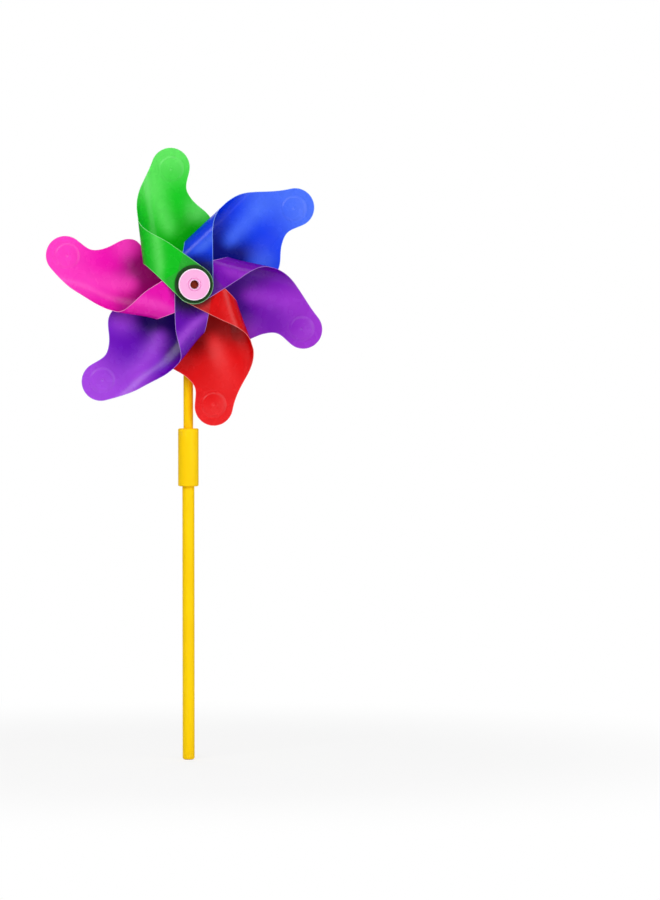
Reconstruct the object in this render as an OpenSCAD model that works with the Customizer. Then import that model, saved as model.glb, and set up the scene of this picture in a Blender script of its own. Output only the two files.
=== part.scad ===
/* [Poles] */
// Outer diameter of the lower pole
lower_pole_d = 10; // [9:0.5:12]
// Length of the lower pole
lower_pole_l = 250; // [180:5:320]
// Outer diameter of the upper pole
upper_pole_d = 8; // [7:0.5:9]
// Length of the upper pole
upper_pole_l = 134; // [120:2:180]
// Wall of both pole tubes
pole_wall = 1.2; // [0.8:0.1:1.6]
// Rounding of the lower pole's closed foot
foot_round = 2; // [1:0.25:3]
// Step down in radius where the lower pole enters the sleeve
spigot_step = 0.3; // [0.1:0.05:0.4]

/* [Coupler] */
// Outer diameter of the sleeve that joins the poles
coupler_d = 17; // [15:0.5:20]
// How deep each pole sits in the sleeve
socket_depth = 23; // [15:1:30]
// Web inside the sleeve that both poles stop against
stop_web = 2; // [1.5:0.5:4]
// Rounding of the sleeve's rims
coupler_round = 1.2; // [0.5:0.1:1.8]

/* [Head] */
// Diameter of the moulded head round the pole and the axle
head_d = 12.5; // [11.5:0.5:15]
// How deep the upper pole sits in the head
head_socket = 18; // [12:1:24]
// Plastic left between the pole's end and the axle
head_bridge = 4; // [3:0.5:6]
// Length of the head's axle boss, front to back
boss_l = 13; // [12.5:0.5:18]

/* [Axle] */
// Diameter of the axle
axle_d = 5; // [4:0.25:5.5]
// Diameter of the axle's front head
axle_head_d = 6.6; // [6.2:0.1:6.8]
// Thickness of the axle's front head
axle_head_t = 1.6; // [1:0.2:2.4]
// Thickness of the push-on clip behind the boss
clip_t = 0.8; // [0.5:0.1:1.5]
// Outer diameter of the push-on clip
clip_d = 10; // [8.5:0.5:11]
// Length of the bush between the head and the wheel
bush_l = 2; // [1:0.25:4]
// Outer diameter of the bush
bush_d = 9; // [7.5:0.5:10]

/* [Hub] */
// Diameter of the front cap
cap_d = 26; // [22:1:30]
// Thickness of the front cap's flange
cap_t = 3; // [2:0.25:4]
// Width of the hole in the middle of the cap
eye_d = 7; // [7:0.1:7.6]
// Outer diameter of the raised ring round the hole
ring_d = 10; // [9:0.5:12]
// Height of the raised ring
ring_h = 0.6; // [0.3:0.1:1]
// Depth of the hole, down to the shoulder that the axle's head holds
eye_depth = 5; // [3.5:0.25:7]
// Diameter of the cap's stem that threads the blades
stem_d = 9; // [8.8:0.1:10]
// Clear distance between the front and rear ends of the blades
spool_l = 20; // [18:1:24]
// Diameter of the spool's waist
spool_d = 12.5; // [12:0.5:15]
// Diameter of the spool's end flanges
spool_flange_d = 20; // [17:0.5:22]
// Thickness of the spool's end flanges
spool_flange_t = 1.5; // [1:0.25:2.5]
// Diameter of the rear flange
rear_d = 24; // [20:1:28]
// Thickness of the rear flange
rear_t = 2.5; // [2:0.25:4]

/* [Blades] */
// Thickness of the plastic sheet
sheet_t = 0.3; // [0.2:0.05:0.35]
// Flat part of each side, from the axle to where the bend begins
flat_reach = 20; // [18:0.5:21]
// Least length that the bend takes up beyond the flat part
bend_run = 10; // [9.5:0.5:12]
// Angle taken by the gentle part of the bend on each side
bend_ease = 40; // [30:1:45]
// Radius of the round front end
front_end_r = 16; // [14:0.5:18]
// Radius of the narrow rear end
root_r = 8.5; // [7.5:0.25:9]
// Radius of the round tab at the tip
tab_r = 16; // [12:0.5:18]
// Distance from the tab's middle to the waist behind the tab
waist_reach = 32; // [30:0.5:36]
// Distance from the tab's middle to the belly of the wing
belly_reach = 58.2; // [55:0.1:62]
// Distance from the axle to where the narrow rear end widens
root_l = 17; // [15:0.5:20]
// How far the wing's throat lies beside the axle
throat_out = 10; // [8.5:0.5:11]
// How far the wing's throat lies above the axle
throat_up = 36; // [32:0.5:38]
// Width of the strip left between the bend and the notch
notch_in = 9; // [7:0.5:10]
// How far the notch rises above the bend's lower end
notch_up = 5; // [3:0.5:7]
// Length of the straight part of the front side's edge
edge_l = 36; // [30:0.5:38]
// Radius of the circle pressed into the tab
press_r = 10.8; // [6:0.2:11.5]
// Height of the pressed circle
press_h = 0.6; // [0.3:0.1:1]
// Radius of the pressed circle's flat top
press_top_r = 2.4; // [1:0.2:5]

/* [Fits] */
// Radial gap of a part that turns on the axle
run_gap = 0.05; // [0.02:0.01:0.1]
// Radial gap of a part that slides on by hand
slide_gap = 0.05; // [0.02:0.01:0.1]
// Radial gap round the stem in the blades' holes
hole_gap = 0.15; // [0.05:0.05:0.3]
// End play of the wheel between the bush and the axle's head
end_play = 0.2; // [0.1:0.05:0.4]

/* [Hidden] */
$fn = 72;
eps = 0.01;

yellow = [0.99, 0.83, 0.02];
deep_yellow = [0.98, 0.72, 0.04];
pink = [0.97, 0.72, 0.90];
orange = [0.85, 0.35, 0.05];

// Heights up the pole
spigot_r = lower_pole_d / 2 - spigot_step;
coupler_l = 2 * socket_depth + stop_web;
coupler_z = lower_pole_l - socket_depth;
upper_pole_z = lower_pole_l + stop_web;
upper_pole_top = upper_pole_z + upper_pole_l;
hub_z = upper_pole_top + head_bridge + axle_d / 2 + 1.5;

// Distances in front of the pole's axis, from the boss to the tip of the cap
blade_count = 6;
stack_t = blade_count * sheet_t;
boss_front = boss_l / 2;
rear_flange_back = boss_front + bush_l + end_play;
rear_stack_back = rear_flange_back + rear_t;
spool_back = rear_stack_back + stack_t;
spool_front = spool_back + spool_l;
cap_back = spool_front + stack_t;
cap_front = cap_back + cap_t;
eye_front = cap_front + ring_h;
shoulder = eye_front - eye_depth;
loop_mid = (spool_back + spool_front) / 2;
loop_half = spool_l / 2 + stack_t;

// The sheets are bent by hand, so each sits its own way on the wheel. In a blade's own frame its bend
// stands at the left of the axle. Here are the turn of that frame on the wheel, how far the bend stands out
// from the axle, the heights at which the sheet's edges cross the bend, the tab's direction and distance,
// and how far the wing's outline leans round its tab.
loop_turns = [7, -47, -106, -164, 133, 73];
bend_reaches = [38, 30, 30, 32, 36, 36];
bend_lows = [22, 19, 22, 24, 20, 20];
bend_tops = [59, 61, 60, 62, 54, 55];
tab_angles = [99.5, 36, -21.5, -79, -133, 167];
tab_reaches = [98, 108.5, 101.5, 102.5, 109, 106.5];
wing_leans = [0, 0, -5, 0, 8, 0];
blade_colours = [[0.0, 0.78, 0.12], [0.0, 0.27, 0.94], [0.51, 0.0, 0.75], [0.94, 0.0, 0.08],
    [0.43, 0.08, 0.75], [0.94, 0.08, 0.70]];

function polar(r, a) = [r * cos(a), r * sin(a)];
function arc(centre, r, from, to, steps) =
    [for (i = [0 : steps]) centre + polar(r, from + (to - from) * i / steps)];
function bezier(p, q, r, s, steps) = [for (i = [1 : steps - 1]) let (t = i / steps, u = 1 - t)
    u * u * u * p + 3 * u * u * t * q + 3 * u * t * t * r + t * t * t * s];
// Curve between two points, leaving and arriving in the given directions. Each pull is a share of the
// distance between the points.
function curve(p, dir_p, pull_p, s, dir_s, pull_s, steps) = let (d = norm(s - p))
    bezier(p, p + polar(pull_p * d, dir_p), s - polar(pull_s * d, dir_s), s, steps);

// Puts a shape drawn round the Z axis onto the wheel's axis, with its Z as distance in front of the pole
module on_axle() {
    translate([0, 0, hub_z]) rotate([90, 0, 0]) children();
}

module ring(outer_r, inner_r, h) {
    difference() {
        cylinder(r = outer_r, h = h);
        translate([0, 0, -1]) cylinder(r = inner_r, h = h + 2);
    }
}

// Tube with a closed, rounded foot and a stepped end that enters the sleeve
module lower_pole() {
    r = lower_pole_d / 2;
    color(yellow) difference() {
        union() {
            translate([0, 0, foot_round]) cylinder(r = r, h = coupler_z - foot_round);
            translate([0, 0, foot_round]) cylinder(r = spigot_r, h = lower_pole_l - foot_round);
            rotate_extrude() translate([r - foot_round, foot_round]) intersection() {
                circle(r = foot_round);
                translate([0, -foot_round]) square([foot_round, foot_round]);
            }
            cylinder(r = r - foot_round, h = foot_round + eps);
        }
        translate([0, 0, 2 * foot_round]) cylinder(r = spigot_r - pole_wall, h = lower_pole_l);
    }
}

// Sleeve with a socket for each pole and a stop between them
module pole_coupler() {
    r = coupler_d / 2;
    c = coupler_round;
    color(yellow) translate([0, 0, coupler_z]) difference() {
        rotate_extrude() union() {
            translate([0, c]) square([r, coupler_l - 2 * c]);
            square([r - c, coupler_l]);
            translate([r - c, c]) circle(r = c);
            translate([r - c, coupler_l - c]) circle(r = c);
        }
        translate([0, 0, -1]) cylinder(r = spigot_r + slide_gap, h = socket_depth + 1);
        translate([0, 0, socket_depth + stop_web])
            cylinder(r = upper_pole_d / 2 + slide_gap, h = socket_depth + 1);
        // Hole through the stop, left by the mould's core pin
        cylinder(r = upper_pole_d / 2 - pole_wall, h = coupler_l);
    }
}

module upper_pole() {
    color(deep_yellow) translate([0, 0, upper_pole_z])
        ring(upper_pole_d / 2, upper_pole_d / 2 - pole_wall, upper_pole_l);
}

// Moulded head: a socket over the pole's end and a boss that holds the axle
module pole_head() {
    r = head_d / 2;
    foot = upper_pole_top - head_socket;
    color(yellow) difference() {
        union() {
            translate([0, 0, foot]) cylinder(r = r, h = hub_z - foot);
            on_axle() translate([0, 0, -boss_l / 2]) cylinder(r = r, h = boss_l);
        }
        translate([0, 0, foot - 1]) cylinder(r = upper_pole_d / 2 + slide_gap, h = head_socket + 1);
        on_axle() translate([0, 0, -boss_l]) cylinder(r = axle_d / 2, h = 2 * boss_l);
    }
}

// Axle with a head at its front, held by a clip behind the boss
module axle() {
    tail = -boss_l / 2 - clip_t - 1.5;
    head_back = shoulder + end_play / 2;
    color(orange) on_axle() {
        translate([0, 0, tail]) cylinder(r = axle_d / 2, h = head_back - tail + eps);
        translate([0, 0, head_back]) cylinder(r = axle_head_d / 2, h = axle_head_t);
    }
}

module retaining_clip() {
    color("silver") on_axle() translate([0, 0, -boss_l / 2 - clip_t]) ring(clip_d / 2, axle_d / 2, clip_t);
}

module rear_bush() {
    color("white") on_axle() translate([0, 0, boss_front]) ring(bush_d / 2, axle_d / 2 + slide_gap, bush_l);
}

module rear_flange() {
    color(pink) on_axle() translate([0, 0, rear_flange_back]) ring(rear_d / 2, stem_d / 2, rear_t);
}

// Spool that keeps the two ends of the blades apart
module hub_spool() {
    color("white") on_axle() translate([0, 0, spool_back]) difference() {
        union() {
            cylinder(r = spool_d / 2, h = spool_l);
            cylinder(r = spool_flange_d / 2, h = spool_flange_t);
            translate([0, 0, spool_l - spool_flange_t])
                cylinder(r = spool_flange_d / 2, h = spool_flange_t);
        }
        translate([0, 0, -1]) cylinder(r = stem_d / 2 + slide_gap, h = spool_l + 2);
    }
}

// Front cap: a round flange with a raised ring, and the stem that threads the blades and the spool
module front_cap() {
    rim = 1;
    color(pink) on_axle() difference() {
        union() {
            translate([0, 0, rear_flange_back])
                cylinder(r = stem_d / 2, h = cap_back - rear_flange_back + eps);
            translate([0, 0, cap_back]) rotate_extrude() union() {
                square([cap_d / 2, cap_t - rim]);
                square([cap_d / 2 - rim, cap_t]);
                translate([cap_d / 2 - rim, cap_t - rim]) circle(r = rim);
            }
            translate([0, 0, cap_front - eps]) cylinder(r = ring_d / 2, h = ring_h + eps);
        }
        translate([0, 0, shoulder]) cylinder(r = eye_d / 2, h = eye_depth + 1);
        translate([0, 0, rear_flange_back - 1]) cylinder(r = axle_d / 2 + run_gap, h = shoulder + 1);
    }
}

// Section of the bent sheet: two flat sides joined by a bend of three arcs, with the rear side at the top.
// half is the distance from the middle of the loop to either outer face, reach is how far the bend stands
// out, and inset is taken off inwards.
function bend_section(half, reach, inset) =
    let (
        flat = min(flat_reach, reach - bend_run),
        run = reach - flat,
        s = sin(bend_ease),
        c = cos(bend_ease),
        det = s * c - (1 - s) * (1 - c),
        easy_r = (run * c - (1 - s) * half) / det,
        tight_r = (s * half - (1 - c) * run) / det,
        rear = [-flat, half - easy_r],
        nose = [-flat - (easy_r - tight_r) * s, 0],
        front = [-flat, easy_r - half],
        right = front_end_r + 2 * tab_r
    ) concat(
        [[right, half - inset]],
        arc(rear, easy_r - inset, 90, 90 + bend_ease, 10),
        arc(nose, tight_r - inset, 90 + bend_ease + 5, 265 - bend_ease, 18),
        arc(front, easy_r - inset, 270 - bend_ease, 270, 10),
        [[right, inset - half]]
    );

function reversed(points) = [for (i = [len(points) - 1 : -1 : 0]) points[i]];

module bent_sheet(half, reach, low, high) {
    translate([0, 0, low]) linear_extrude(high - low)
        polygon(concat(bend_section(half, reach, 0), reversed(bend_section(half, reach, sheet_t))));
}

// Outline of the rear side, from the narrow root out to the tab
function wing_outline(tab, lean, reach, low, top) =
    let (
        belly = tab + polar(belly_reach, lean - 60),
        waist = tab + polar(waist_reach, lean - 63),
        throat = [throat_out, throat_up],
        root_right = polar(root_l, 84),
        root_left = polar(root_l, 140),
        notch = [notch_in - reach, low + notch_up],
        tab_right = tab + polar(tab_r, lean - 20),
        tab_left = tab + polar(tab_r, lean + 162),
        bend_high = [-reach, top],
        bend_low = [-reach, low]
    ) concat(
        arc([0, 0], root_r, 205, 379, 24),
        curve(polar(root_r, 19), 109, 0.26, root_right, 105, 0.26, 4),
        [root_right],
        curve(root_right, 95, 0.38, throat, 80, 0.38, 8),
        [throat],
        curve(throat, 70, 0.3, belly, lean + 92, 0.3, 8),
        [belly],
        curve(belly, lean + 92, 0.38, waist, lean + 122, 0.38, 12),
        [waist],
        curve(waist, lean + 122, 0.5, tab_right, lean + 70, 0.5, 10),
        arc(tab, tab_r, lean - 20, lean + 162, 40),
        curve(tab_left, lean + 252, 0.22, bend_high, 270, 0.56, 16),
        [bend_high, bend_high - [1, 0], bend_low - [1, 0], bend_low],
        curve(bend_low, 30, 0.4, notch, 10, 0.4, 6),
        [notch],
        curve(notch, -5, 0.35, root_left, 280, 0.22, 10),
        [root_left],
        curve(root_left, 290, 0.2, polar(root_r, 205), 295, 0.2, 4)
    );

// Outline of the front side, from the bend in to the round front end
function flap_outline(reach, low, top) =
    let (
        edge_dir = 137.6,
        corner = [-reach, low],
        touch = atan2(corner.y, corner.x) + acos(front_end_r / norm(corner)),
        knee = polar(front_end_r, edge_dir - 90) + polar(edge_l, edge_dir),
        bend_high = [-reach, top]
    ) concat(
        [corner - [1, 0], corner],
        arc([0, 0], front_end_r, touch, edge_dir + 270, 48),
        [knee],
        curve(knee, 141, 0.45, bend_high, 90, 0.3, 12),
        [bend_high, bend_high - [1, 0]]
    );

// Stands an outline up and cuts it through one side of the loop
module side_cutter(outline, depth) {
    rotate([90, 0, 0]) linear_extrude(depth) polygon(outline);
}

// Shallow cone with a flat top, pressed out of the tab towards the front
module pressed_circle() {
    rotate([90, 0, 0]) rotate_extrude()
        polygon([[0, -eps], [press_r, -eps], [press_r, 0], [press_top_r, press_h], [0, press_h]]);
}

// One blade: place is its place in the stack, 0 for the widest loop
module blade(place) {
    half = loop_half - place * sheet_t;
    reach = bend_reaches[place];
    low = bend_lows[place];
    top = bend_tops[place];
    turn = loop_turns[place];
    lean = wing_leans[place];
    tab = polar(tab_reaches[place], tab_angles[place] - turn);
    press_at = tab - polar(1.5, tab_angles[place] - turn);
    color(blade_colours[place]) translate([0, -loop_mid, hub_z]) rotate([0, -turn, 0])
        difference() {
            union() {
                intersection() {
                    bent_sheet(half, reach, -front_end_r - 1, tab.y + tab_r + 1);
                    union() {
                        translate([0, half + 1, 0])
                            side_cutter(wing_outline(tab, lean, reach, low, top), half + 1);
                        side_cutter(flap_outline(reach, low, top), half + 1);
                    }
                }
                translate([press_at.x, half - sheet_t, press_at.y]) pressed_circle();
            }
            translate([0, half + 1, 0]) rotate([90, 0, 0])
                cylinder(r = stem_d / 2 + hole_gap, h = 2 * half + 2);
            translate([press_at.x, half, press_at.y]) pressed_circle();
        }
}

module blade_green() { blade(0); }
module blade_blue() { blade(1); }
module blade_purple() { blade(2); }
module blade_red() { blade(3); }
module blade_violet() { blade(4); }
module blade_magenta() { blade(5); }

lower_pole();
pole_coupler();
upper_pole();
pole_head();
axle();
retaining_clip();
rear_bush();
rear_flange();
hub_spool();
front_cap();
blade_green();
blade_blue();
blade_purple();
blade_red();
blade_violet();
blade_magenta();
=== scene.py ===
import math
from dataclasses import dataclass

import bmesh
import bpy
import numpy as np
from mathutils import Matrix, Vector
from mathutils.geometry import delaunay_2d_cdt


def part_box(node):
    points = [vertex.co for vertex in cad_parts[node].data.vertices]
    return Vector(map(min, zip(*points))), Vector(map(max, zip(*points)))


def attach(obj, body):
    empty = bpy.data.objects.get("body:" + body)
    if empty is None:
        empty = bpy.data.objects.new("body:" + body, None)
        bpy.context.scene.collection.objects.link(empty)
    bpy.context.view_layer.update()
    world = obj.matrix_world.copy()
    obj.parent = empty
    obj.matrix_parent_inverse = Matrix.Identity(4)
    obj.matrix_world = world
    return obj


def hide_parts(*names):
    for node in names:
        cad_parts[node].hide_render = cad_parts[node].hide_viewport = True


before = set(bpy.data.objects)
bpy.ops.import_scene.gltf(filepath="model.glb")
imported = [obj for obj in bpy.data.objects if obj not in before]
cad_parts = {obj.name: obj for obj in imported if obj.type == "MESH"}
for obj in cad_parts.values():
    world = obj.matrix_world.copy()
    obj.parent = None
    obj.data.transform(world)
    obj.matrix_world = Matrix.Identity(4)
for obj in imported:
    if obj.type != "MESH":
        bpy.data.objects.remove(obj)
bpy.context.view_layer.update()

MM = 0.001


# ---------------------------------------------------------------- sizes, read from the frame

def along_axle(node):
    """How far the back and the front of a node lie in front of the pole's axis, in millimetres."""
    low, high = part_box(node)
    return -high.y / MM, -low.y / MM


def heights(node):
    low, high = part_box(node)
    return low.z / MM, high.z / MM


def radius_of(node):
    low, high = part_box(node)
    return (high.x - low.x) / 2 / MM


def middle(node):
    low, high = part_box(node)
    return (low + high) / 2


hub_z = middle("front_cap").z / MM
foot_z, lower_pole_top = heights("lower_pole")
coupler_low, coupler_high = heights("pole_coupler")
upper_pole_low, upper_pole_top = heights("upper_pole")
axle_tail, axle_front = along_axle("axle")
bush_back, bush_front = along_axle("rear_bush")
rear_back, rear_front = along_axle("rear_flange")
spool_back, spool_front = along_axle("hub_spool")
stem_back, ring_front = along_axle("front_cap")

lower_pole_r = radius_of("lower_pole")
upper_pole_r = radius_of("upper_pole")
coupler_r = radius_of("pole_coupler")
cap_r = radius_of("front_cap")
rear_r = radius_of("rear_flange")
spool_flange_r = radius_of("hub_spool")
bush_r = radius_of("rear_bush")

# Sizes inside the pieces, and the widths of the cap's painted highlight rims, in millimetres
POLE_WALL = 1.2
FOOT_ROUND = 2.0
SPIGOT_STEP = 0.3
SLIDE_GAP = 0.05
STEM_R = 4.5
HOLE_R = STEM_R + 0.15
AXLE_R = 2.5
AXLE_HEAD_R = 3.3
AXLE_HEAD_T = 1.6
EYE_R = 3.6
EYE_RING_R = 4.9
GROOVE_R = 5.25
GROOVE_W = 0.45
GROOVE_DEPTH = 0.7
EYE_RING_H = 0.6
CAP_HIGHLIGHT_W = 0.7
EYE_HIGHLIGHT_W = 0.35
EYE_DEPTH = 5.0
SPOOL_WAIST_R = 6.25
SPOOL_FLANGE_T = 1.5

# An edge bent by more than this, in radians, isn't shaded smooth
CRISP_EDGE = math.radians(40)

# The blades' stack on the hub
BLADE_COUNT = 6
sheet_t = (spool_back - rear_front) / BLADE_COUNT
loop_mid = (spool_back + spool_front) / 2
loop_half = (spool_front - spool_back) / 2 + BLADE_COUNT * sheet_t
cap_back = spool_front + BLADE_COUNT * sheet_t
cap_front = ring_front - EYE_RING_H


# ---------------------------------------------------------------- node trees

class Nodes:
    """Adds nodes to a tree. Each call returns the new node's output."""

    def __init__(self, tree):
        self.tree = tree

    def add(self, kind, inputs=None, output=0, **settings):
        node = self.tree.nodes.new(kind)
        for key, value in settings.items():
            setattr(node, key, value)
        for key, value in (inputs or {}).items():
            if isinstance(value, bpy.types.NodeSocket):
                self.tree.links.new(value, node.inputs[key])
            else:
                node.inputs[key].default_value = value
        return node.outputs[output] if len(node.outputs) else node

    def math(self, operation, *values):
        return self.add("ShaderNodeMath", dict(enumerate(values)), operation=operation)

    def clamp(self, value, low, high):
        return self.add("ShaderNodeClamp", {"Value": value, "Min": low, "Max": high})

    def smooth_step(self, value, low, high):
        """0 below low, 1 above high and smooth between them."""
        return self.add(
            "ShaderNodeMapRange",
            {"Value": value, "From Min": low, "From Max": high},
            interpolation_type="SMOOTHSTEP",
        )

    def noise(self, vector, scale, detail=2.0, roughness=0.5):
        return self.add(
            "ShaderNodeTexNoise",
            {"Vector": vector, "Scale": scale, "Detail": detail, "Roughness": roughness},
        )

    def stretched(self, vector, scale):
        """The vector with each of its parts multiplied."""
        return self.add("ShaderNodeVectorMath", {0: vector, 1: scale}, operation="MULTIPLY")

    def mix_colour(self, factor, a, b, blend="MIX"):
        return self.add(
            "ShaderNodeMix", {"Factor": factor, 6: a, 7: b}, output=2, data_type="RGBA", blend_type=blend
        )

    def mix_shader(self, factor, a, b):
        return self.add("ShaderNodeMixShader", {"Fac": factor, 1: a, 2: b})

    def shared(self, group, inputs):
        """Adds a shared group and returns its outputs."""
        return self.add("ShaderNodeGroup", inputs, node_tree=group).node.outputs

    def link(self, ends, **values):
        """Links each value to the end of that name."""
        for name, value in values.items():
            self.tree.links.new(value, ends[name])


def new_group(name, kind, inputs, outputs):
    """A node group with named sockets. inputs has (name, type, value) and outputs (name, type)."""
    group = bpy.data.node_groups.new(name, kind)
    for label, socket_type, value in inputs:
        socket = group.interface.new_socket(name=label, in_out="INPUT", socket_type=socket_type)
        if value is not None:
            socket.default_value = value
    for label, socket_type in outputs:
        group.interface.new_socket(name=label, in_out="OUTPUT", socket_type=socket_type)
    entry = group.nodes.new("NodeGroupInput")
    end = group.nodes.new("NodeGroupOutput")
    return group, Nodes(group), entry.outputs, end.inputs


def scuff_group():
    """Hairline scratches and handling marks, as a mask from 0 to 1."""
    group, nodes, given, result = new_group(
        "Scuffs",
        "ShaderNodeTree",
        [("Vector", "NodeSocketVector", None), ("Size", "NodeSocketFloat", 1.0),
         ("Amount", "NodeSocketFloat", 0.5)],
        [("Mask", "NodeSocketFloat")],
    )
    spread = nodes.add(
        "ShaderNodeVectorMath", {0: given["Vector"], "Scale": given["Size"]}, operation="SCALE"
    )
    hairs = nodes.noise(nodes.stretched(spread, (900.0, 140.0, 60.0)), 1.0, detail=3.0)
    patches = nodes.noise(spread, 60.0, detail=2.0)
    lines = nodes.smooth_step(hairs, 0.60, 0.72)
    worn = nodes.smooth_step(patches, 0.5, 0.75)
    mask = nodes.math("MULTIPLY", nodes.math("MULTIPLY", lines, worn), given["Amount"])
    nodes.link(result, Mask=mask)
    return group


def skin_group():
    """Moulded or drawn plastic: faint colour flow, uneven gloss and a very fine grain."""
    group, nodes, given, result = new_group(
        "Plastic skin",
        "ShaderNodeTree",
        [("Vector", "NodeSocketVector", None), ("Colour", "NodeSocketColor", None),
         ("Shade", "NodeSocketColor", None), ("Roughness", "NodeSocketFloat", 0.35),
         ("Scuffs", "NodeSocketFloat", 0.0)],
        [("Colour", "NodeSocketColor"), ("Roughness", "NodeSocketFloat"), ("Height", "NodeSocketFloat")],
    )
    flow = nodes.noise(nodes.stretched(given["Vector"], (70.0, 70.0, 22.0)), 1.0, detail=3.0)
    grain = nodes.noise(given["Vector"], 1600.0, detail=2.0)
    factor = nodes.smooth_step(flow, 0.35, 0.75)
    tone = nodes.mix_colour(factor, given["Colour"], given["Shade"])
    pale = nodes.mix_colour(nodes.math("MULTIPLY", given["Scuffs"], 0.25), tone, (1.0, 1.0, 1.0, 1.0))
    gloss = nodes.math("MULTIPLY_ADD", flow, 0.10, nodes.math("SUBTRACT", given["Roughness"], 0.05))
    rough = nodes.math("MULTIPLY_ADD", given["Scuffs"], 0.25, gloss)
    height = nodes.math("MULTIPLY_ADD", flow, 0.6, nodes.math("MULTIPLY", grain, 0.12))
    nodes.link(result, Colour=pale, Roughness=rough, Height=height)
    return group


def film_group():
    """Rolled sheet: a dye with painted shade where sheets lie over each other and near the hub, and painted
    highlights towards the tab, faint rolling lines, soft unevenness, and a painted highlight along the cut
    edge."""
    group, nodes, given, result = new_group(
        "Rolled film",
        "ShaderNodeTree",
        [("Vector", "NodeSocketVector", None), ("Colour", "NodeSocketColor", None),
         ("Painted shade colour", "NodeSocketColor", None), ("Painted highlight colour", "NodeSocketColor", None),
         ("Edge highlight colour", "NodeSocketColor", None), ("Deep", "NodeSocketFloat", 0.0),
         ("Pale", "NodeSocketFloat", 0.0), ("Stacked", "NodeSocketFloat", 0.0),
         ("Edge", "NodeSocketFloat", 0.0),
         ("Roughness", "NodeSocketFloat", 0.3), ("Scuffs", "NodeSocketFloat", 0.0)],
        [("Colour", "NodeSocketColor"), ("Roughness", "NodeSocketFloat"), ("Height", "NodeSocketFloat")],
    )
    lines = nodes.noise(nodes.stretched(given["Vector"], (240.0, 9.0, 1.0)), 1.0, detail=2.0)
    cloud = nodes.noise(given["Vector"], 9.0, detail=2.0)
    value = nodes.math("MULTIPLY_ADD", cloud, 0.12, 0.94)
    # Painted shade: the value falls and the colour dulls where sheets lie behind (Stacked)
    left = nodes.math("MULTIPLY_ADD", given["Stacked"], -0.84, 1.0)
    # Painted shade towards the hub (Deep) and painted highlights towards the tab and in streaks (Pale)
    deepened = nodes.mix_colour(given["Deep"], given["Colour"], given["Painted shade colour"])
    shaded = nodes.mix_colour(given["Pale"], deepened, given["Painted highlight colour"])
    tone = nodes.add(
        "ShaderNodeHueSaturation",
        {"Saturation": nodes.math("MULTIPLY_ADD", given["Stacked"], -0.25, 1.0),
         "Value": nodes.math("MULTIPLY", value, left), "Color": shaded},
    )
    # Painted highlight along the cut edge (Edge)
    edge_highlight = nodes.smooth_step(given["Edge"], 0.25, 1.0)
    colour = nodes.mix_colour(edge_highlight, tone, given["Edge highlight colour"])
    gloss = nodes.math("MULTIPLY_ADD", cloud, 0.08, nodes.math("SUBTRACT", given["Roughness"], 0.04))
    rough = nodes.math("MULTIPLY_ADD", given["Scuffs"], 0.2, gloss)
    height = nodes.math("MULTIPLY_ADD", lines, 0.05, cloud)
    nodes.link(result, Colour=colour, Roughness=rough, Height=height)
    return group


SCUFFS = scuff_group()
SKIN = skin_group()
FILM = film_group()


# ---------------------------------------------------------------- materials

def linear(red, green, blue):
    """A colour given as it looks on a screen, from 0 to 255, as the shader's numbers."""
    shown = np.array([red, green, blue]) / 255
    light = np.where(shown <= 0.04045, shown / 12.92, ((shown + 0.055) / 1.055) ** 2.4)
    return (*light.tolist(), 1.0)


def new_material(name):
    material = bpy.data.materials.new(name)
    material.use_nodes = True
    tree = material.node_tree
    tree.nodes.clear()
    return material, Nodes(tree), tree.nodes.new("ShaderNodeOutputMaterial")


def plastic(name, colour, shade, roughness, scuffs=0.3, gloss=0.5):
    """Opaque moulded or drawn plastic."""
    material, nodes, output = new_material(name)
    place = nodes.add("ShaderNodeTexCoord", output="Object")
    marks = nodes.shared(SCUFFS, {"Vector": place, "Amount": scuffs})
    skin = nodes.shared(
        SKIN,
        {"Vector": place, "Scuffs": marks["Mask"], "Colour": colour, "Shade": shade, "Roughness": roughness},
    )
    bump = nodes.add("ShaderNodeBump", {"Height": skin["Height"], "Strength": 0.25, "Distance": 0.00006})
    surface = nodes.add(
        "ShaderNodeBsdfPrincipled",
        {"Base Color": skin["Colour"], "Roughness": skin["Roughness"], "Normal": bump, "IOR": 1.5,
         "Specular IOR Level": gloss},
    )
    nodes.link(output.inputs, Surface=surface)
    return material


def steel(name):
    """Bright spring steel with a fine turned grain."""
    material, nodes, output = new_material(name)
    place = nodes.add("ShaderNodeTexCoord", output="Object")
    marks = nodes.shared(SCUFFS, {"Vector": place, "Size": 3.0, "Amount": 0.8})
    grain = nodes.noise(nodes.stretched(place, (900.0, 4000.0, 900.0)), 1.0, detail=3.0)
    rough = nodes.math("MULTIPLY_ADD", marks["Mask"], 0.25, 0.24)
    colour = nodes.mix_colour(grain, (0.52, 0.52, 0.53, 1.0), (0.66, 0.66, 0.67, 1.0))
    bump = nodes.add("ShaderNodeBump", {"Height": grain, "Strength": 0.3, "Distance": 0.00003})
    surface = nodes.add(
        "ShaderNodeBsdfPrincipled",
        {"Base Color": colour, "Roughness": rough, "Normal": bump, "Metallic": 1.0},
    )
    nodes.link(output.inputs, Surface=surface)
    return material


# How the light that meets a sheet is shared out: first between its face and its depth, then straight through
SHEET_GLOW = 0.16
SHEET_CLEAR = 0.2


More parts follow.
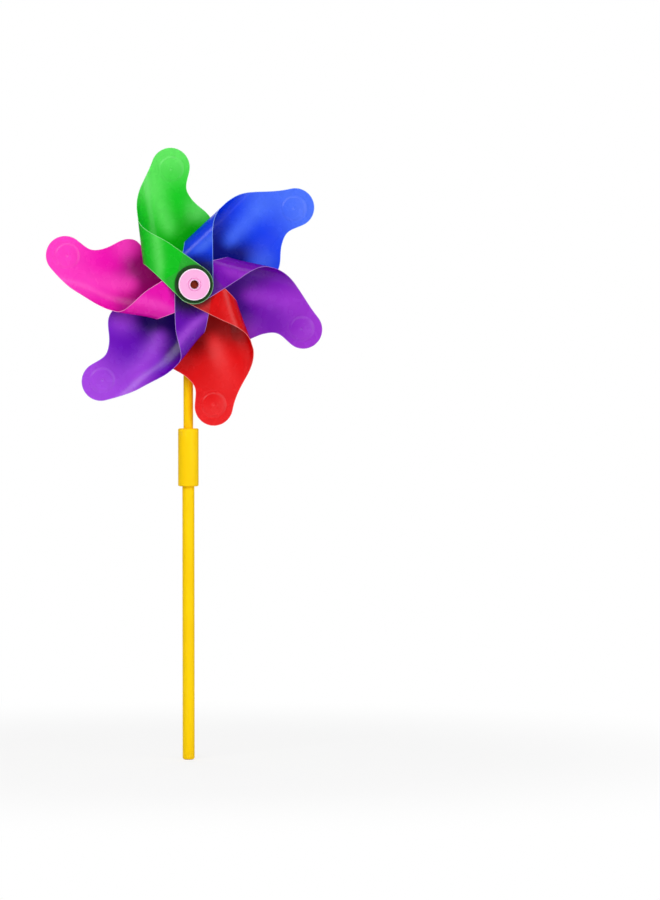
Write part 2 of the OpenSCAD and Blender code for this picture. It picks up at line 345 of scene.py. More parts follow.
def sheet(name, dye, deep, pale, glow, edge):
    """Thin dyed see-through sheet. dye is its colour, deep the colour of its painted shade and pale of its
    painted highlights, glow is the light that comes through it, and edge is the colour of the painted
    highlight along its cut edge."""
    material, nodes, output = new_material(name)
    place = nodes.add("ShaderNodeUVMap", uv_map="Sheet")
    marks = nodes.shared(SCUFFS, {"Vector": place, "Size": 0.12, "Amount": 0.6})
    # Masks of painted light kept on the blank: edge and pale for highlights, deep and stacked for shade
    painted_light_masks = {
        attribute.capitalize(): nodes.add("ShaderNodeAttribute", output="Fac", attribute_name=attribute)
        for attribute in ("edge", "deep", "pale", "stacked")
    }
    film = nodes.shared(
        FILM,
        {"Vector": place, "Scuffs": marks["Mask"], "Colour": dye, "Painted shade colour": deep, "Painted highlight colour": pale,
         "Edge highlight colour": edge, "Roughness": 0.27, **painted_light_masks},
    )
    bump = nodes.add("ShaderNodeBump", {"Height": film["Height"], "Strength": 0.3, "Distance": 0.0004})
    surface = nodes.add(
        "ShaderNodeBsdfPrincipled",
        {"Base Color": film["Colour"], "Roughness": film["Roughness"], "Normal": bump, "IOR": 1.5,
         "Specular IOR Level": 0.36},
    )
    through = nodes.add("ShaderNodeBsdfTranslucent", {"Color": glow})
    clear = nodes.add("ShaderNodeBsdfTransparent", {"Color": glow})
    cloudy = nodes.mix_shader(SHEET_GLOW, surface, through)
    nodes.link(output.inputs, Surface=nodes.mix_shader(SHEET_CLEAR, cloudy, clear))
    return material


YELLOW = plastic("Yellow tube", linear(255, 212, 0), linear(252, 204, 0), 0.45, gloss=0.1)
YELLOW_MOULDED = plastic("Yellow moulding", linear(255, 211, 0), linear(252, 204, 0), 0.4, gloss=0.12)
DEEP_YELLOW = plastic("Deep yellow tube", linear(255, 206, 0), linear(248, 192, 0), 0.45, gloss=0.1)
PINK = plastic("Pink moulding", linear(243, 174, 220), linear(240, 166, 214), 0.32, scuffs=0.15, gloss=0.35)
# Near-white pink: painted highlight on the cap's outer rim and round its eye
PINK_PAINTED_HIGHLIGHT = plastic("Pink moulding painted highlight", linear(255, 240, 251), linear(255, 236, 249), 0.3, scuffs=0.0)
WHITE = plastic("White moulding", linear(238, 238, 236), linear(230, 230, 228), 0.4, scuffs=0.15)
# Brown: the orange pin's colour darkened as painted shade for its end deep in the cap's eye
ORANGE_IN_PAINTED_SHADE = plastic("Orange axle in painted shade", linear(120, 36, 4), linear(104, 30, 3), 0.5, scuffs=0.2, gloss=0.15)
STEEL = steel("Spring steel")


# ---------------------------------------------------------------- pieces

def finish_piece(piece, node, body):
    """Puts a made piece in the place of its node."""
    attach(piece, body)
    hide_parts(node)
    return piece


def new_piece(name, mesh, *materials):
    piece = bpy.data.objects.new(name, mesh)
    bpy.context.scene.collection.objects.link(piece)
    for material in materials:
        mesh.materials.append(material)
    return piece


def baked(source, name):
    """A plain mesh piece with what the source's modifiers make, in place of the source."""
    graph = bpy.context.evaluated_depsgraph_get()
    mesh = bpy.data.meshes.new_from_object(source.evaluated_get(graph), depsgraph=graph)
    mesh.name = name
    bpy.data.objects.remove(source)
    piece = bpy.data.objects.new(name, mesh)
    bpy.context.scene.collection.objects.link(piece)
    return piece


def rounded(corners, closed, steps=5):
    """The outline with its corners rounded. corners has (radius, place along the axis, rounding)."""
    points = []
    last = len(corners) - 1
    for i, (radius, along, rounding) in enumerate(corners):
        here = Vector((radius, along))
        if rounding == 0 or (not closed and i in (0, last)):
            points.append(here)
            continue
        before = (Vector(corners[i - 1][:2]) - here).normalized()
        after = (Vector(corners[(i + 1) % len(corners)][:2]) - here).normalized()
        half = before.angle(after) / 2
        centre = here + (before + after).normalized() * rounding / math.sin(half)
        start = here + before * rounding / math.tan(half) - centre
        end = here + after * rounding / math.tan(half) - centre
        sweep = start.angle_signed(end)
        for step in range(steps + 1):
            turned = start.copy()
            turned.rotate(Matrix.Rotation(-sweep * step / steps, 2))
            points.append(centre + turned)
    return points


def upright(radius, angle, along):
    """A point of a piece turned round the pole's axis."""
    return Vector((radius * math.cos(angle), radius * math.sin(angle), along)) * MM


def on_axle(radius, angle, along):
    """A point of a piece turned round the axle, with its place along it measured forwards."""
    return Vector((radius * math.cos(angle), -along, hub_z + radius * math.sin(angle))) * MM


def lathe(name, corners, place, material, closed=True, count=96, steps=5):
    """Turns an outline round an axis. An outline that isn't closed starts and ends on the axis."""
    outline = rounded(corners, closed, steps)
    shape = bmesh.new()
    rings = []
    for point in outline:
        if point.x < 1e-6:
            rings.append([shape.verts.new(place(0, 0, point.y))] * count)
            continue
        ring = [place(point.x, math.tau * k / count, point.y) for k in range(count)]
        rings.append([shape.verts.new(p) for p in ring])
    pairs = list(zip(rings, rings[1:] + rings[:1])) if closed else list(zip(rings, rings[1:]))
    for one, two in pairs:
        for k in range(count):
            ahead = (k + 1) % count
            corners_here = dict.fromkeys([one[k], one[ahead], two[ahead], two[k]])
            shape.faces.new(list(corners_here))
    bmesh.ops.recalc_face_normals(shape, faces=shape.faces)
    mesh = bpy.data.meshes.new(name)
    shape.to_mesh(mesh)
    shape.free()
    mesh.shade_smooth()
    mesh.set_sharp_from_angle(angle=CRISP_EDGE)
    return new_piece(name, mesh, material)


def make_lower_pole():
    """Drawn tube with a closed, rounded foot and a stepped end inside the sleeve."""
    spigot_r = lower_pole_r - SPIGOT_STEP
    bore_r = spigot_r - POLE_WALL
    corners = [
        (0, foot_z, 0),
        (lower_pole_r, foot_z, FOOT_ROUND),
        (lower_pole_r, coupler_low, 0.1),
        (spigot_r, coupler_low, 0),
        (spigot_r, lower_pole_top, 0.25),
        (bore_r, lower_pole_top, 0.25),
        (bore_r, foot_z + 2 * FOOT_ROUND, 1.0),
        (0, foot_z + 2 * FOOT_ROUND, 0),
    ]
    piece = lathe("lower_pole_tube", corners, upright, YELLOW, closed=False)
    finish_piece(piece, "lower_pole", "stick")


def make_coupler():
    """Moulded sleeve with a socket at each end and a stop between them."""
    lower_socket_r = lower_pole_r - SPIGOT_STEP + SLIDE_GAP
    upper_socket_r = upper_pole_r + SLIDE_GAP
    core_r = upper_pole_r - POLE_WALL
    corners = [
        (coupler_r, coupler_low, 1.2),
        (coupler_r, coupler_high, 1.2),
        (upper_socket_r, coupler_high, 0.35),
        (upper_socket_r, upper_pole_low, 0),
        (core_r, upper_pole_low, 0.1),
        (core_r, lower_pole_top, 0.1),
        (lower_socket_r, lower_pole_top, 0),
        (lower_socket_r, coupler_low, 0.2),
    ]
    piece = lathe("pole_coupler_sleeve", corners, upright, YELLOW_MOULDED)
    finish_piece(piece, "pole_coupler", "stick")


def make_upper_pole():
    bore_r = upper_pole_r - POLE_WALL
    corners = [
        (upper_pole_r, upper_pole_low, 0.25),
        (upper_pole_r, upper_pole_top, 0.25),
        (bore_r, upper_pole_top, 0.25),
        (bore_r, upper_pole_low, 0.25),
    ]
    piece = lathe("upper_pole_tube", corners, upright, DEEP_YELLOW)
    finish_piece(piece, "upper_pole", "head")


def make_axle():
    """Pin with a domed head at the front."""
    head_back_face = axle_front - AXLE_HEAD_T
    corners = [
        (0, axle_tail, 0),
        (AXLE_R, axle_tail, 0.5),
        (AXLE_R, head_back_face, 0),
        (AXLE_HEAD_R, head_back_face, 0.15),
        (AXLE_HEAD_R, axle_front, 0.6),
        (0, axle_front, 0),
    ]
    piece = lathe("axle_pin", corners, on_axle, ORANGE_IN_PAINTED_SHADE, closed=False, count=72)
    finish_piece(piece, "axle", "head")


def make_bush():
    inner_r = AXLE_R + SLIDE_GAP
    corners = [
        (bush_r, bush_back, 0.3),
        (bush_r, bush_front, 0.3),
        (inner_r, bush_front, 0.2),
        (inner_r, bush_back, 0.2),
    ]
    piece = lathe("rear_bush_ring", corners, on_axle, WHITE, count=72)
    finish_piece(piece, "rear_bush", "head")


def make_rear_flange():
    corners = [
        (rear_r, rear_back, 0.9),
        (rear_r, rear_front, 0.3),
        (STEM_R, rear_front, 0),
        (STEM_R, rear_back, 0.2),
    ]
    piece = lathe("rear_flange_disc", corners, on_axle, PINK)
    finish_piece(piece, "rear_flange", "wheel")


def make_spool():
    """Spool that keeps the blades' two ends apart."""
    inner_r = STEM_R + SLIDE_GAP
    corners = [
        (spool_flange_r, spool_back, 0.3),
        (spool_flange_r, spool_back + SPOOL_FLANGE_T, 0.5),
        (SPOOL_WAIST_R, spool_back + SPOOL_FLANGE_T, 0.8),
        (SPOOL_WAIST_R, spool_front - SPOOL_FLANGE_T, 0.8),
        (spool_flange_r, spool_front - SPOOL_FLANGE_T, 0.5),
        (spool_flange_r, spool_front, 0.3),
        (inner_r, spool_front, 0.2),
        (inner_r, spool_back, 0.2),
    ]
    piece = lathe("hub_spool_body", corners, on_axle, WHITE)
    finish_piece(piece, "hub_spool", "wheel")


def make_front_cap():
    """Round cap with a raised ring round its eye, painted highlights on its outer rim and round its eye, and
    the stem that threads the blades.
    """
    shoulder = ring_front - EYE_DEPTH
    bore_r = AXLE_R + SLIDE_GAP
    corners = [
        (bore_r, stem_back, 0.15),
        (STEM_R, stem_back, 0.25),
        (STEM_R, cap_back, 0),
        (cap_r, cap_back, 0.3),
        (cap_r, cap_front, 0.7),
        (GROOVE_R + GROOVE_W, cap_front, 0.1),
        (GROOVE_R, cap_front - GROOVE_DEPTH, 0.1),
        (EYE_RING_R, cap_front, 0.1),
        (EYE_RING_R - 0.2, ring_front, 0.3),
        (EYE_R, ring_front, 0.25),
        (EYE_R, shoulder, 0),
        (bore_r, shoulder, 0.1),
    ]
    piece = lathe("front_cap_flange", corners, on_axle, PINK, count=128, steps=7)
    piece.data.materials.append(PINK_PAINTED_HIGHLIGHT)
    # Faces at the cap's outer rim and round its eye take the painted highlight
    for face in piece.data.polygons:
        reach = math.hypot(face.center.x, face.center.z - hub_z * MM) / MM
        in_painted_highlight = reach > cap_r - CAP_HIGHLIGHT_W or EYE_R < reach < EYE_R + EYE_HIGHLIGHT_W
        if in_painted_highlight and -face.center.y / MM > cap_front - CAP_HIGHLIGHT_W:
            face.material_index = 1
    finish_piece(piece, "front_cap", "wheel")


# ---------------------------------------------------------------- the blades

@dataclass
class Blade:
    """One blade. In its own frame its bend stands at the left of the axle. turn is that frame's turn on
    the wheel, bend_reach, bend_low and bend_top say where the bend is, the tab's place is given round the
    hub, lean is how far the wing's outline leans round the tab, tab_end is where the tab's round ends,
    bulge is how far the bend's upper end stands out, and flap_painted_shade is how far from the axle the
    flap has painted shade."""
    colour: str
    place: int
    turn: float
    bend_reach: float
    bend_low: float
    bend_top: float
    tab_angle: float
    tab_reach: float
    lean: float
    tab_end: float
    bulge: float
    flap_painted_shade: float


BLADES = [
    Blade("green", 0, 7, 38, 22, 59, 99.5, 98, 0, 153, 0, 17),
    Blade("blue", 1, -47, 30, 19, 61, 36, 108.5, 0, 150, 0, 34),
    Blade("purple", 2, -106, 30, 22, 60, -21.5, 101.5, -5, 150, 2, 24),
    Blade("red", 3, -164, 32, 24, 62, -79, 102.5, 0, 153, 2.5, 22),
    Blade("violet", 4, 133, 36, 20, 54, -133, 109, 8, 143, 4, 34),
    Blade("magenta", 5, 73, 36, 20, 55, 167, 106.5, 0, 147, 4, 24),
]

# Shape of the blank, in millimetres and degrees
FLAT_REACH = 20.0
BEND_RUN = 10.0
BEND_EASE = math.radians(40)
FRONT_END_R = 16.0
ROOT_R = 8.5
TAB_R = 16.0
WAIST_REACH = 32.0
BELLY_REACH = 58.2
ROOT_L = 17.0
THROAT = (10.0, 36.0)
NOTCH = (9.0, 5.0)
EDGE_L = 36.0
EDGE_DIR = 137.6

# The circle pressed into the tab: two low steps, a shallow cone, and a dimple at its middle
PRESS_H = 0.85
PRESS_INSET = 1.5
PRESS_REACH = 11.5
PRESS_RADII = [0.0, 0.5, 1.0, 1.7, 2.6, 8.7, 9.2, 9.6, 10.5, 10.9, PRESS_REACH]
PRESS_SHARES = [0.45, 0.52, 0.86, 1.08, 1.0, 0.46, 0.38, 0.06, 0.06, -0.12, 0.0]
PRESS_CONE_RINGS = [7.0, 5.4, 4.0]
PRESS_POINT_GAP = 0.9

# Long soft waves of the wing, in millimetres and degrees
WAVE_START = 38.0
WAVE_FULL = 62.0
WAVE_END = 95.0
WAVE_FADE = 0.7
WAVE_PERIOD = 50.0
WAVE_SPREAD = math.radians(38)
WAVE_HEIGHT = 1.6

# Where the flaps lie over each other: painted shade, full inside the ring round the cap and this share for
# each flap behind
STACK_R = 16.1
STACK_SHARE = 0.19

# Where the painted shade near the hub fades and the painted highlight towards the tab grows, as distances
# from the axle
WING_PAINTED_SHADE = (34.0, 76.0)
WING_PAINTED_HIGHLIGHT = (72.0, 112.0)

# Spacing of the blank's mesh, in millimetres
OUTLINE_STEP = 1.0
INNER_STEP = 1.5
ROW_SHARE = 0.866
CLEAR_SHARE = 0.6
# EDGE_LINE is also the width of the painted highlight along the cut edge
EDGE_LINE = 0.8
SEAM_CLEAR = 0.4


def polar(radius, angle):
    return np.array([radius * math.cos(math.radians(angle)), radius * math.sin(math.radians(angle))])


def arc(centre, radius, start, end, count):
    return [centre + polar(radius, start + (end - start) * i / count) for i in range(count + 1)]


def curve(start, leave_dir, leave_pull, end, arrive_dir, arrive_pull, count=16):
    """Points between start and end. Each pull is a share of the distance between them."""
    start, end = np.array(start, float), np.array(end, float)
    distance = np.linalg.norm(end - start)
    one = start + polar(leave_pull * distance, leave_dir)
    two = end - polar(arrive_pull * distance, arrive_dir)
    points = []
    for t in np.arange(1, count) / count:
        u = 1 - t
        points.append(u ** 3 * start + 3 * u * u * t * one + 3 * u * t * t * two + t ** 3 * end)
    return points


class Bend:
    """The round of one blade's sheet, along the middle of its thickness."""

    def __init__(self, blade):
        half = loop_half - blade.place * sheet_t
        self.flat = min(FLAT_REACH, blade.bend_reach - BEND_RUN)
        run = blade.bend_reach - self.flat
        s, c = math.sin(BEND_EASE), math.cos(BEND_EASE)
        spread = s * c - (1 - s) * (1 - c)
        self.easy_r = (run * c - (1 - s) * half) / spread - sheet_t / 2
        self.tight_r = (s * half - (1 - c) * run) / spread - sheet_t / 2
        self.reach = blade.bend_reach - sheet_t / 2
        self.tight_angle = math.pi / 2 - BEND_EASE
        self.tight_length = self.tight_r * self.tight_angle
        self.easy_length = self.easy_r * BEND_EASE

    def along(self, x):
        """Distance along the sheet from the bend's outermost line to a point seen at x."""
        depth = max(x + self.reach, 0.0)
        tight_depth = self.tight_r * (1 - math.cos(self.tight_angle))
        easy_depth = self.easy_r * math.cos(self.tight_angle)
        if depth <= tight_depth:
            return self.tight_r * math.acos(1 - depth / self.tight_r)
        if depth <= tight_depth + easy_depth:
            angle = math.acos(math.cos(self.tight_angle) - (depth - tight_depth) / self.easy_r)
            return self.tight_length + self.easy_r * (angle - self.tight_angle)
        return self.tight_length + self.easy_length + depth - tight_depth - easy_depth

    def seen(self, distance):
        """The opposite of along, for an array of distances on either side of the bend."""
        distance = np.abs(distance)
        first = np.minimum(distance, self.tight_length) / self.tight_r
        angle = first + np.clip(distance - self.tight_length, 0, self.easy_length) / self.easy_r
        flat = np.maximum(distance - self.tight_length - self.easy_length, 0)
        in_tight = self.tight_r * (1 - np.cos(first))
        in_easy = self.easy_r * (np.cos(first) - np.cos(angle))
        return flat * np.sin(angle) + in_tight + in_easy - self.reach


def wing_outline(blade, tab):
    """The rear side's edge, from the bend's lower end round the root and the tab to its upper end."""
    lean = blade.lean
    belly = tab + polar(BELLY_REACH, lean - 60)
    waist = tab + polar(WAIST_REACH, lean - 63)
    root_right, root_left = polar(ROOT_L, 84), polar(ROOT_L, 140)
    notch = np.array([NOTCH[0] - blade.bend_reach, blade.bend_low + NOTCH[1]])
    tab_right, tab_left = tab + polar(TAB_R, lean - 20), tab + polar(TAB_R, lean + blade.tab_end)
    bend_low = np.array([-blade.bend_reach, blade.bend_low])
    bend_high = np.array([-blade.bend_reach, blade.bend_top])
    root_start, root_end = polar(ROOT_R, 205), polar(ROOT_R, 379)
    return [
        bend_low,
        *curve(bend_low, 30, 0.4, notch, 10, 0.4),
        notch,
        *curve(notch, -5, 0.35, root_left, 280, 0.22),
        root_left,
        *curve(root_left, 290, 0.2, root_start, 295, 0.2),
        *arc(np.zeros(2), ROOT_R, 205, 379, 30),
        *curve(root_end, 109, 0.26, root_right, 105, 0.26),
        root_right,
        *curve(root_right, 95, 0.38, THROAT, 80, 0.38),
        np.array(THROAT),
        *curve(THROAT, 70, 0.3, belly, lean + 92, 0.3),
        belly,
        *curve(belly, lean + 92, 0.38, waist, lean + 122, 0.38),
        waist,
        *curve(waist, lean + 122, 0.5, tab_right, lean + 70, 0.5),
        *arc(tab, TAB_R, lean - 20, lean + blade.tab_end, 48),
        *curve(tab_left, lean + blade.tab_end + 90, 0.44, bend_high, 270, 0.46, 24),
        bend_high,
    ]


def flap_outline(blade):
    """The front side's edge, from the bend's upper end round the front end to its lower end."""
    corner = np.array([-blade.bend_reach, blade.bend_low])
    bend_high = np.array([-blade.bend_reach, blade.bend_top])
    lean_in = math.degrees(math.acos(FRONT_END_R / np.linalg.norm(corner)))
    touch = math.degrees(math.atan2(corner[1], corner[0])) + lean_in
    knee = polar(FRONT_END_R, EDGE_DIR - 90) + polar(EDGE_L, EDGE_DIR)
    edge = [
        corner,
        *arc(np.zeros(2), FRONT_END_R, touch, EDGE_DIR + 270, 60),
        knee,
        *curve(knee, 141, 0.45, bend_high, 90, 0.3),
        bend_high,
    ]
    return edge[::-1]


def subdivided(points, step):
    """The line with its longer gaps filled, and without points that lie on each other."""
    filled = [np.array(points[0], float)]
    for point in points[1:]:
        gap = np.linalg.norm(point - filled[-1])
        if gap < step * 0.25:
            continue
        start = filled[-1]
        pieces = max(1, math.ceil(gap / step))
        filled += [start + (point - start) * i / pieces for i in range(1, pieces + 1)]
    return filled


def inside(points, loop):
    """Which points lie inside a closed loop."""
    x, y = points[:, 0, None], points[:, 1, None]
    x1, y1 = loop[:, 0], loop[:, 1]
    x2, y2 = np.roll(x1, -1), np.roll(y1, -1)
    crosses = (y1 > y) != (y2 > y)
    rise = np.where(y2 == y1, 1e-12, y2 - y1)
    return (crosses & (x < (x2 - x1) * (y - y1) / rise + x1)).sum(1) % 2 == 1


def nearest(points, others):
    """Distance from each point to the closest of the others."""
    return np.sqrt(((points[:, None] - others[None]) ** 2).sum(2)).min(1)


def pressed_height(radius):
    """Height of the pressed circle at a distance from its middle."""
    return np.interp(radius, PRESS_RADII, PRESS_SHARES) * PRESS_H


def smooth(value, low, high):
    """0 below low, 1 above high and smooth between them."""
    t = np.clip((value - low) / (high - low), 0, 1)
    return t * t * (3 - 2 * t)


def wave_height(reach, angle, distance):
    """Height of the long soft waves that run from the hub to the tab, where the pinned sheet is strained."""
    rise = smooth(reach, WAVE_START, WAVE_FULL) * (1 - WAVE_FADE * smooth(reach, WAVE_FULL, WAVE_END))
    crest = np.cos(angle * 360 / WAVE_PERIOD) * np.exp(-(angle / WAVE_SPREAD) ** 2)
    return WAVE_HEIGHT * rise * crest * smooth(distance, 4, 30)


def hump(value, middle, width):
    return np.exp(-((value - middle) / width) ** 2)


def wing_painted_light(reach, angle):
    """Painted shade near the hub and in a valley, and painted highlights towards the tab, in a streak and a
    spot, on the wing.
    """
    degrees = np.degrees(angle)
    highlight_streak = hump(degrees, 12, 7) * smooth(reach, 38, 52) * (1 - smooth(reach, 80, 104))
    highlight_spot = hump(degrees, -20, 9) * smooth(reach, 46, 60) * (1 - smooth(reach, 64, 82))
    shade_valley = hump(degrees, -5, 10) * smooth(reach, 24, 36) * (1 - smooth(reach, 44, 66))
    deep = (1 - smooth(reach, *WING_PAINTED_SHADE)) * (1 - 0.6 * highlight_streak) * (1 - 0.5 * highlight_spot) + 0.4 * shade_valley
    pale = smooth(reach, *WING_PAINTED_HIGHLIGHT) + 0.75 * highlight_streak + 0.7 * highlight_spot
    return np.clip(deep, 0, 1), np.clip(pale, 0, 1)


def flap_painted_light(reach, inset, flap_painted_shade):
    """The same for the flap: painted shade near the hub and a painted highlight streak along the bend. inset
    is the distance from the bend.
    """
    highlight_streak = hump(inset, 12, 4.5) * smooth(reach, 22, 32)
    deep = (1 - smooth(reach, FRONT_END_R, flap_painted_shade)) * (1 - highlight_streak)
    return deep, 0.7 * highlight_streak


def turned(points, degrees):
    c, s = math.cos(math.radians(degrees)), math.sin(math.radians(degrees))
    return points @ np.array([[c, s], [-s, c]])


def flaps_behind(blade):
    """Outlines of the flaps that lie behind this blade's flap, in this blade's frame."""
    outlines = []
    for other in BLADES:
        if other.place > blade.place:
            outline = flap_outline(other)
            closed = np.array(subdivided([*outline, outline[0]], OUTLINE_STEP))
            outlines.append(turned(closed, other.turn - blade.turn))
    return outlines


def lines_within(outline, own, bend):
    """The runs of an outline that lie within this blade's own flap, unrolled onto its blank."""
    kept = inside(outline, own) & (nearest(outline, own) > SEAM_CLEAR)
    kept &= np.hypot(*outline.T) > STACK_R
    runs, run = [], []
    for point, stays in zip(outline, kept):
        if stays:
            run.append([-bend.along(point[0]), point[1]])
        elif run:
            runs.append(np.array(run))
            run = []
    return runs + [np.array(run)] if run else runs


def unrolled(bend, points, side):
    """Seen points laid out on the flat blank. side is 1 on the wing and -1 on the flap."""
    return [np.array([side * bend.along(p[0]), p[1]]) for p in points]


def blank_edge(blade, bend, tab):
    wing = unrolled(bend, subdivided(wing_outline(blade, tab), OUTLINE_STEP), 1)
    flap = unrolled(bend, subdivided(flap_outline(blade), OUTLINE_STEP), -1)
    return np.array(wing + flap[1:-1])


def press_rings(middle):
    """Rings of points round the pressed circle's middle, from its edge inwards."""
    rings = []
    for radius in sorted(PRESS_RADII[1:] + PRESS_CONE_RINGS, reverse=True):
        around = max(10, round(math.tau * radius / PRESS_POINT_GAP))
        rings.append(np.array(arc(middle, radius, 0, 360, around)[:-1]))
    return rings


def border_points(edge):
    """A line of points just inside the edge, for the painted highlight along the cut."""
    tangent = np.roll(edge, -1, 0) - np.roll(edge, 1, 0)
    tangent /= np.linalg.norm(tangent, axis=1)[:, None]
    inward = np.stack([-tangent[:, 1], tangent[:, 0]], 1)
    if not inside(edge[:1] + inward[:1] * 0.1, edge)[0]:
        inward = -inward
    border = edge + inward * EDGE_LINE
    border = border[inside(border, edge)]
    return border[nearest(border, edge) > EDGE_LINE * 0.85]


def inner_points(edge, holes, press_middle):
    """Evenly spread points inside the edge, clear of it, of the holes and of the pressed circle."""
    low, high = edge.min(0), edge.max(0)
    rows = np.arange(low[1], high[1], INNER_STEP * ROW_SHARE)
    columns = np.arange(low[0], high[0], INNER_STEP)
    grid = np.array([(x + (i % 2) * INNER_STEP / 2, y) for i, y in enumerate(rows) for x in columns])
    grid = grid[inside(grid, edge)]
    grid = grid[nearest(grid, edge) > EDGE_LINE * 1.6]
    clear = CLEAR_SHARE * INNER_STEP
    for hole in holes:
        grid = grid[np.linalg.norm(grid - hole.mean(0), axis=1) > HOLE_R + clear]
    return grid[np.linalg.norm(grid - press_middle, axis=1) > PRESS_REACH + clear]


def flap_seams(blade, bend, behind):
    """Lines of the blank where the flaps behind it end, so that the painted shade over them has a crisp
    edge.
    """
    own = np.array(subdivided(flap_outline(blade), OUTLINE_STEP))
    stack_ring = np.array(arc(np.zeros(2), STACK_R + 0.01, 0, 360, 120))
    return [line for outline in (stack_ring, *behind) for line in lines_within(outline, own, bend)]


def triangles(loops, lines, loose, edge, holes):
    """Points and triangles that follow the loops and lines and fill the edge, apart from the holes."""
    points, links = [], []
    for loop in loops:
        start = len(points)
        points += [Vector(p) for p in loop]
        links += [(start + i, start + (i + 1) % len(loop)) for i in range(len(loop))]
    for line in lines:
        start = len(points)
        points += [Vector(p) for p in line]
        links += [(start + i, start + i + 1) for i in range(len(line) - 1)]
    points += [Vector(p) for p in loose]
    found, _, faces, *_ = delaunay_2d_cdt(points, links, [], 0, 1e-5)
    found = np.array([tuple(p) for p in found])
    faces = np.array(faces)
    centres = found[faces].mean(1)
    keep = inside(centres, edge)
    for hole in holes:
        keep &= ~inside(centres, hole)
    return found, faces[keep]


def painted_stack_shade(bend, middles, behind):
    """How many sheets lie behind each triangle, as the share of painted shade that darkens its colour."""
    seen = np.column_stack([bend.seen(middles[:, 0]), middles[:, 1]])
    stacked = sum((inside(seen, outline) * STACK_SHARE for outline in behind), 0.0)
    stacked = np.where(np.hypot(*seen.T) < STACK_R, 1.0, stacked)
    return np.where(middles[:, 0] > 0, 0.0, np.minimum(stacked, 1.0))


def flat_blank(blade, bend):
    """The blade's blank as a flat mesh, measured along the sheet from the bend's outermost line."""
    tab_dir = blade.tab_angle - blade.turn
    tab = polar(blade.tab_reach, tab_dir)
    edge = blank_edge(blade, bend, tab)
    hole = arc(np.zeros(2), HOLE_R, 0, 360, 48)[:-1]
    holes = [np.array(unrolled(bend, hole, side)) for side in (1, -1)]
    press_middle = unrolled(bend, [tab - polar(PRESS_INSET, tab_dir)], 1)[0]
    behind = flaps_behind(blade)
    loops = [edge, *holes, *press_rings(press_middle)]
    loose = [*border_points(edge), *inner_points(edge, holes, press_middle), press_middle]
    found, faces = triangles(loops, flap_seams(blade, bend, behind), loose, edge, holes)

    along = found[:, 0]
    seen_x, seen_y = bend.seen(along), found[:, 1]
    reach = np.hypot(seen_x, seen_y)
    angle = np.arctan2(seen_y, seen_x) - math.radians(tab_dir)
    angle = (angle + math.pi) % math.tau - math.pi
    waves = np.where(along > 0, wave_height(reach, angle, along), 0)
    height = -pressed_height(np.linalg.norm(found - press_middle, axis=1)) - waves
    mesh = bpy.data.meshes.new(f"{blade.colour}_blank")
    mesh.from_pydata((np.column_stack([found, height]) * MM).tolist(), [], faces.tolist())

    wing_painted_shade, wing_painted_highlight = wing_painted_light(reach, angle)
    flap_painted_shade, flap_painted_highlight = flap_painted_light(reach, seen_x + blade.bend_reach, blade.flap_painted_shade)
    # Painted light on the blank: a highlight along the cut edge, shade near the hub, highlights towards the
    # tab and in streaks
    across_bend = smooth(along, -4, 4)
    painted_light = {
        "edge": np.clip(1 - nearest(found, edge) / EDGE_LINE, 0, 1),
        "deep": flap_painted_shade + (wing_painted_shade - flap_painted_shade) * across_bend,
        "pale": flap_painted_highlight + (wing_painted_highlight - flap_painted_highlight) * across_bend,
    }
    for name, values in painted_light.items():
        mesh.attributes.new(name, "FLOAT", "POINT").data.foreach_set("value", values)
    stacked = painted_stack_shade(bend, found[faces].mean(1), behind)
    mesh.attributes.new("stacked", "FLOAT", "FACE").data.foreach_set("value", stacked)
    corner_points = np.array([loop.vertex_index for loop in mesh.loops])
    uv = mesh.uv_layers.new(name="Sheet")
    uv.data.foreach_set("uv", (found[corner_points] * 0.01).ravel())
    mesh.shade_smooth()
    return mesh


# The bulge of the bend's upper end is full this far above that end, in millimetres, and then dies away
# over this height, in metres
BULGE_ABOVE = 4
BULGE_FADE = 0.03


